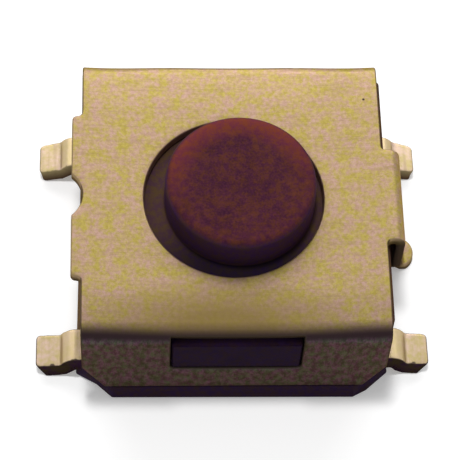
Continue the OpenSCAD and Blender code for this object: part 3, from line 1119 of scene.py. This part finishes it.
def leadPath(values, foot, tilt):
    # an S of two bends, then the foot, which ends on the board at the strip's end
    slope, dip, halfThick = math.radians(values["slope"]), math.radians(tilt), values["thick"] / 2
    level = values["thick"] * math.cos(dip)
    drop = values["rise"] + values["thick"] - level - foot * math.tan(dip)
    first, second = 1 - math.cos(slope), math.cos(dip) - math.cos(slope)
    middle = (drop - halfThick * (first - second)) / (first + second)
    across = (middle + halfThick) * math.sin(slope) + (middle - halfThick) * (math.sin(slope) - math.sin(dip))
    entry = stripHigh.x - foot - across
    return entry, foldPath(entry, values["rise"] + values["thick"], [
        ("bend", middle + halfThick, -values["slope"]), ("bend", middle - halfThick, values["slope"] - tilt),
        ("straight", foot / math.cos(dip))])


def addStrip(bm, values, y):
    halfWidth, row = values["width"] / 2, -1 if y < 0 else 1
    paths = {side: leadPath(values, *values["feet"][side, row]) for side in (-1, 1)}
    ends = {side: paths[side][0] + pathEnd(paths[side][1]) for side in (-1, 1)}
    low, high, tip = y - halfWidth, y + halfWidth, values["tipCorner"]
    corners = [(-ends[-1], low, tip), (ends[1], low, tip), (ends[1], high, tip), (-ends[-1], high, tip)]
    loop = roundedLoop(corners, values["step"])

    def place(u, v, depth, cut):
        x, z, slope = u, values["rise"] + values["thick"] - depth, 0.0
        side = -1 if u < 0 else 1
        entry, path = paths[side]
        beyond, footFrom = abs(u) - entry, path[2]["s"]
        if abs(u) > entry:
            under, along = values["undercut"][row], abs(u) - ends[side]
            slant = max(0.0, 1 + along / (values["undercutReach"] * under)) ** 2
            under *= (depth / values["thick"]) ** values["undercutCurve"] * slant
            x, z = alongPath(path, beyond - under, depth)
            taper = values["taper"][side, row] * max(0.0, beyond - footFrom)
            v -= taper * (v - y + halfWidth) / halfWidth / 2
            slope = smooth(beyond, 0.0, values["slopeFade"])
            slope *= 1 - smooth(beyond, footFrom - values["slopeFade"], footFrom)
            x *= side
            wave = values["wave"] * noise.noise(Vector((u * 9, v * 1.5, row * 7)))
            z += wave * (1 - depth / values["thick"])
        if cut:
            shake = noise.noise(Vector((x * 9, y * 5 + z * 4, math.copysign(3, v - y))))
            v -= math.copysign(abs(shake * values["ragged"] * cut), v - y)
        return (x, v, max(0.0, z)), (cut, max(0, row), slope)

    outer = {}
    for side, (entry, path) in paths.items():
        outer[side] = [entry + s for s in pathStations(path, *values["gridSteps"])]
    middle = spread(-paths[-1][0], paths[1][0], values["middleStep"])[1:-1]
    columns = [-u for u in reversed(outer[-1])] + middle + outer[1]
    rows = spread(low, high, values["acrossStep"])
    grid = innerGrid([loop], columns, rows, values["edgeRoll"] + values["gridClear"])
    addSheet(bm, [loop], grid, cutEdge(values["thick"], values["edgeRoll"], values["edgeSlant"][row]), place)


def addFlat(bm, loop, top, thick, roll=0.02):
    def place(u, v, depth, cut):
        return (u, v, top - depth), (cut, 0.0, 0.0)
    addSheet(bm, [loop], [], cutEdge(thick, roll, 0.0), place)


def ringArc(inner, outer, fromAngle, toAngle, step):
    count = max(3, math.ceil(math.radians(toAngle - fromAngle) * outer / step))
    angles = [math.radians(fromAngle + (toAngle - fromAngle) * k / count) for k in range(count + 1)]
    out = [(outer * math.cos(a), outer * math.sin(a), 0) for a in angles]
    back = [(inner * math.cos(a), inner * math.sin(a), 0) for a in reversed(angles)]
    return roundedLoop(out + back, step)


def buildCentreContact(values):
    bm = newBlank()
    y, thick, sunk = -values["pitch"] / 2, values["thick"], values["sunk"]
    top = values["rise"] + thick
    addStrip(bm, values, y)
    half = values["tongueWidth"] / 2
    corners = [(-half, y, 0), (half, y, 0), (half, half, half - point), (-half, half, half - point)]
    addFlat(bm, roundedLoop(corners, values["acrossStep"]), top - sunk, thick - 2 * sunk)
    pad = circleLoop(0, 0, values["centreRadius"], values["step"])
    addFlat(bm, pad, centreHigh.z, centreHigh.z - top + values["padRoot"])
    return finishPiece("frontTerminals", bm, "base", "tinned_brass", terminalPlating, "centre_contact")


def buildRimContact(values):
    bm = newBlank()
    y, thick, sunk = values["pitch"] / 2, values["thick"], values["sunk"]
    top, step = values["rise"] + thick, values["hiddenStep"]
    outer, inner = values["ringOut"], values["ringOut"] - values["ringWidth"]
    addStrip(bm, values, y)
    ring = ringArc(inner, outer, -values["ringGap"], 180 + values["ringGap"], step)
    addFlat(bm, ring, top - sunk, thick - 2 * sunk)
    half, middle = inner / 2, (inner + outer) / 2
    link = roundedLoop([(-half, middle, 0), (half, middle, 0), (half, y, 0), (-half, y, 0)], step)
    addFlat(bm, link, top - 2 * sunk, thick - 4 * sunk)
    inset, span = values["padInset"], values["padSpan"] / 2
    for angle in values["padAngles"]:
        pad = ringArc(inner + inset, outer - inset, angle - span, angle + span, step)
        addFlat(bm, pad, stripHigh.z, stripHigh.z - top + values["padRoot"])
    return finishPiece("rearTerminals", bm, "base", "tinned_brass", terminalPlating, "rim_contact")


buildCentreContact(terminalValues)
buildRimContact(terminalValues)


# Housing: the moulded base

housingValues = {
    "corners": {-1: (0.65, 0.5), 1: (0.5, 0.32)},   # width and depth cut off the front and rear corners
    "cornerRound": 0.06,
    "spread": [            # how far the rim's outline has spread on the board, point by point
        (-0.03, -0.08), (-0.07, -0.18), (0.07, -0.02), (0.03, 0.0), (0.02, 0.02), (0.0, 0.0),
        (0.0, 0.0), (-0.02, 0.02), (-0.03, 0.0), (-0.104, 0.0), (0.0, 0.0), (0.0, -0.055)],
    "wallBack": 0.22,        # how far the wall stands back from the rim, behind the skirts
    "wallInset": 0.0175,
    "wallShift": 0.0205,     # how far the wall stands to the right on its rim
    "rimTop": 0.42,
    "top": 2.44,
    "edge": 0.03,
    "footEdge": 0.012,
    "partingLine": 0.45,
    "pocketRadius": 2.38,
    "pocketCount": 96,
    "pocketLow": 1.75,
    "domePocketRadius": 2.06,
    "domeFloor": 0.66,
    "latchWidth": 2.62,
    "latchLow": 1.3,
    "latchOut": 0.19,
    "latchTop": 2.44,
    "latchRoot": 0.05,       # how far the latches reach into the wall
    "latchEdge": 0.025,
}


def housingPlan(values, inset, back, low):
    # back is how far the ends stand back from the rim, low is 1 where the rim has spread on the board
    x, y = housingHigh.x, housingHigh.y
    points = []
    for sideX, sideY in ((1, -1), (1, 1), (-1, 1), (-1, -1)):
        cutX, cutY = values["corners"][sideY]
        backX = x - cutX + cutX * min(1.0, back / cutY)
        side = Vector((sideX * (x - inset), sideY * (y - cutY)))
        end = Vector((sideX * backX, sideY * (y - back - inset)))
        corner = [end, (end + side) / 2, side]
        points += corner if sideX * sideY < 0 else corner[::-1]
    across = Vector((values["wallShift"] if back else 0.0, 0.0))
    points = [p + across + low * Vector(shift) for p, shift in zip(points, values["spread"])]
    rounds = [0, values["cornerRound"]]
    return roundedLoop([(p.x, p.y, rounds[i % 3 != 1]) for i, p in enumerate(points)], 100)


def buildHousing(values):
    bm = bmesh.new()
    low, line, foot = housingLow.z, values["partingLine"], values["footEdge"]
    back, rim, top, inset = values["wallBack"], values["rimTop"], values["top"], values["wallInset"]
    edge, soft = values["edge"], values["edge"] * 0.3
    levels = [
        (foot, 0, 1, low), (0, 0, 1, low + foot), (0, 0, 0, rim - edge), (soft, 0, 0, rim - soft),
        (edge, 0, 0, rim), (0, back, 0, rim), (0, back, 0, line), (inset, back, 0, line + foot),
        (inset, back, 0, top - edge), (inset + soft, back, 0, top - soft), (inset + edge, back, 0, top)]
    rings = [[(p.x, p.y, z) for p in housingPlan(values, *level)] for *level, z in levels]
    made = addLoft(bm, rings, close=False)
    bm.faces.new(list(reversed(made[0])))
    addPocket(bm, made[-1], values)
    half, wall = values["latchWidth"] / 2, housingHigh.y - back
    root, out, sill, head = (values[k] for k in ("latchRoot", "latchOut", "latchLow", "latchTop"))
    section = [(wall - root, sill), (wall + out, sill), (wall + out, head - out), (wall - root, head)]
    for side in (-1, 1):
        nose = addLoft(bm, [[(x, side * y, z) for y, z in section] for x in (-half, half)])
        edges = {e for ring in nose for v in ring for e in v.link_edges}
        bmesh.ops.bevel(bm, geom=list(edges), offset=values["latchEdge"], segments=3, affect="EDGES")
    return finishPiece("mouldedBase", bm, "base", "moulding", housingPlastic, "housing")


def addPocket(bm, rim, values):
    # the open top: the wall's upper face round the button's pocket, then down to the dome's floor
    radius, floor, inner = values["pocketRadius"], values["pocketLow"], values["domePocketRadius"]
    top, edge = values["top"], values["edge"]
    levels = [(radius + edge, top), (radius, top - edge), (radius, floor)]
    levels += [(inner, floor), (inner, values["domeFloor"])]
    rings = addLoft(bm, [ringAt(r, z, values["pocketCount"]) for r, z in levels], close=False)
    bm.faces.new(rings[-1])
    loops = [[Vector(v.co[:2]) for v in ring] for ring in (rim, rings[0])]
    fillOutline(bm, loops, rim + rings[0])


buildHousing(housingValues)


# Snap dome: a spring disc that gives way under the button's nose

domeValues = {
    "thick": 0.06,
    "given": 0.24,     # how much of its height it gives at full travel
    "rings": 24,
    "count": 96,
}


def buildSnapDome(values):
    low, high, radius, thick = domeLow.z, domeHigh.z, domeHigh.x, values["thick"]
    rise, count = high - low - thick, values["count"]
    sphere = (radius ** 2 + rise ** 2) / (2 * rise)
    middle = low + rise - sphere
    out = [max(point, radius * k / values["rings"]) for k in range(values["rings"] + 1)]
    under = [(r, max(low, middle + math.sqrt(sphere ** 2 - r ** 2))) for r in out]
    over = [(r, middle + math.sqrt((sphere + thick) ** 2 - r ** 2)) for r in reversed(out)]
    bm = bmesh.new()
    addLoft(bm, [ringAt(r, z, count) for r, z in under + over])
    dome = finishPiece("snapDome", bm, "base", "spring_steel", springSteel, "snap_dome", weighted=False)
    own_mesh(dome)


buildSnapDome(domeValues)


# Button: a stem with a flange that the cover holds down

buttonValues = {
    "shift": (0.0, 0.05, 0.0),   # how the button lies in the play of its hole
    "radius": 1.555,
    "edge": 0.16,
    "crown": 0.03,
    "draft": 0.01,
    "flangeTop": 2.45,
    "flangeLow": 2.1,
    "bossRadius": 1.4,
    "bossLow": 1.44,
    "noseRadius": 0.5,
    "noseEdge": (0.08, 0.02),
    "bossEdge": 0.02,
    "flangeEdge": 0.03,
    "fillet": ((0.1, 0.0), (0.02, 0.02), (0.0, 0.06)),   # out from the side and up from the flange
    "sideRows": (0.14, 0.25),
    "rimFrom": (3, 10),          # rows of the rounded edge over which the rim's painted highlight comes
    "sideTo": (1, 8),            # and over which the side's painted shade goes
    "rimToward": (-0.16, 0.987),  # the rim's painted highlight is strongest on this side
    "rimFade": (-0.4, 0.9),
    "rimLeast": 0.1,
    "stemShadowFade": (0.25, 0.95),    # toward the front, where the flange's painted shadow is darkest
    "rightFade": (0.2, 0.9),
    "rightLess": 0.2,            # how much of the side's painted shade the right loses
    "count": 128,
}


def buttonProfile(values, flangeRadius, top):
    # (radius, height, marks) from the nose's middle to the crown's
    radius, edge = values["radius"], values["edge"]
    nose, boss, low = values["noseRadius"], values["bossRadius"], buttonLow.z
    flangeTop, flangeLow, bossLow = values["flangeTop"], values["flangeLow"], values["bossLow"]
    (wide, small), bossEdge, flangeEdge = values["noseEdge"], values["bossEdge"], values["flangeEdge"]
    hidden = [
        (point, low), (nose - wide, low), (nose - small, low + small), (nose, low + wide), (nose, bossLow),
        (boss - bossEdge, bossLow), (boss, bossLow + bossEdge), (boss, flangeLow),
        (flangeRadius - flangeEdge, flangeLow), (flangeRadius, flangeLow + flangeEdge),
        (flangeRadius, flangeTop - flangeEdge), (flangeRadius - flangeEdge, flangeTop)]
    hidden += [(radius + out, flangeTop + up) for out, up in values["fillet"]]
    profile = [(r, z, (0, 1, 0)) for r, z in hidden]
    profile += [(radius, flangeTop + up, (0, 0, 1)) for up in values["sideRows"]]
    radius -= values["draft"]
    profile.append((radius, top - edge * 1.2, (0, 0, 1)))
    for k in range(13):
        angle = math.pi / 2 * k / 12
        marks = (smooth(k, *values["rimFrom"]), 0, 1 - smooth(k, *values["sideTo"]))
        profile.append((radius - edge * (1 - math.cos(angle)), top - edge * (1 - math.sin(angle)), marks))
    radius = values["radius"] - edge
    for k in range(1, 13):
        share = 1 - k / 12
        height = top + values["crown"] * (1 - share ** 2)
        profile.append((max(point, radius * share), height, (max(0.0, 1 - k / 4), 0, 0)))
    return profile


def buildButton(values):
    middle = (buttonLow + buttonHigh) / 2 + Vector(values["shift"])
    flangeRadius = (buttonHigh.x - buttonLow.x) / 2
    top = buttonHigh.z - values["crown"]
    profile = buttonProfile(values, flangeRadius, top)
    bm = bmesh.new()
    layer = bm.verts.layers.float_vector.new("marks")
    rings = addLoft(bm, [ringAt(r, z, values["count"], middle.x, middle.y) for r, z, _ in profile])
    least, less = values["rimLeast"], values["rightLess"]
    for ring, (_, _, (rim, below, side)) in zip(rings, profile):
        for vertex in ring:
            toward = Vector((vertex.co.x - middle.x, vertex.co.y - middle.y)).normalized()
            rear = smooth(toward.dot(values["rimToward"]), *values["rimFade"])
            # front masks the stem's painted shadow on the flange
            front, right = smooth(-toward.y, *values["stemShadowFade"]), smooth(toward.x, *values["rightFade"])
            # the rim's painted highlight, strongest toward the rear
            rimHighlight = least + (1 - least) * rear
            # the side's painted shade is lighter on the right
            vertex[layer] = (rim * rimHighlight, below * (1 + front), side * (1 - less * right))
    return finishPiece("pressedButton", bm, "plunger", "button_plastic", buttonPlastic, "button")


buildButton(buttonValues)
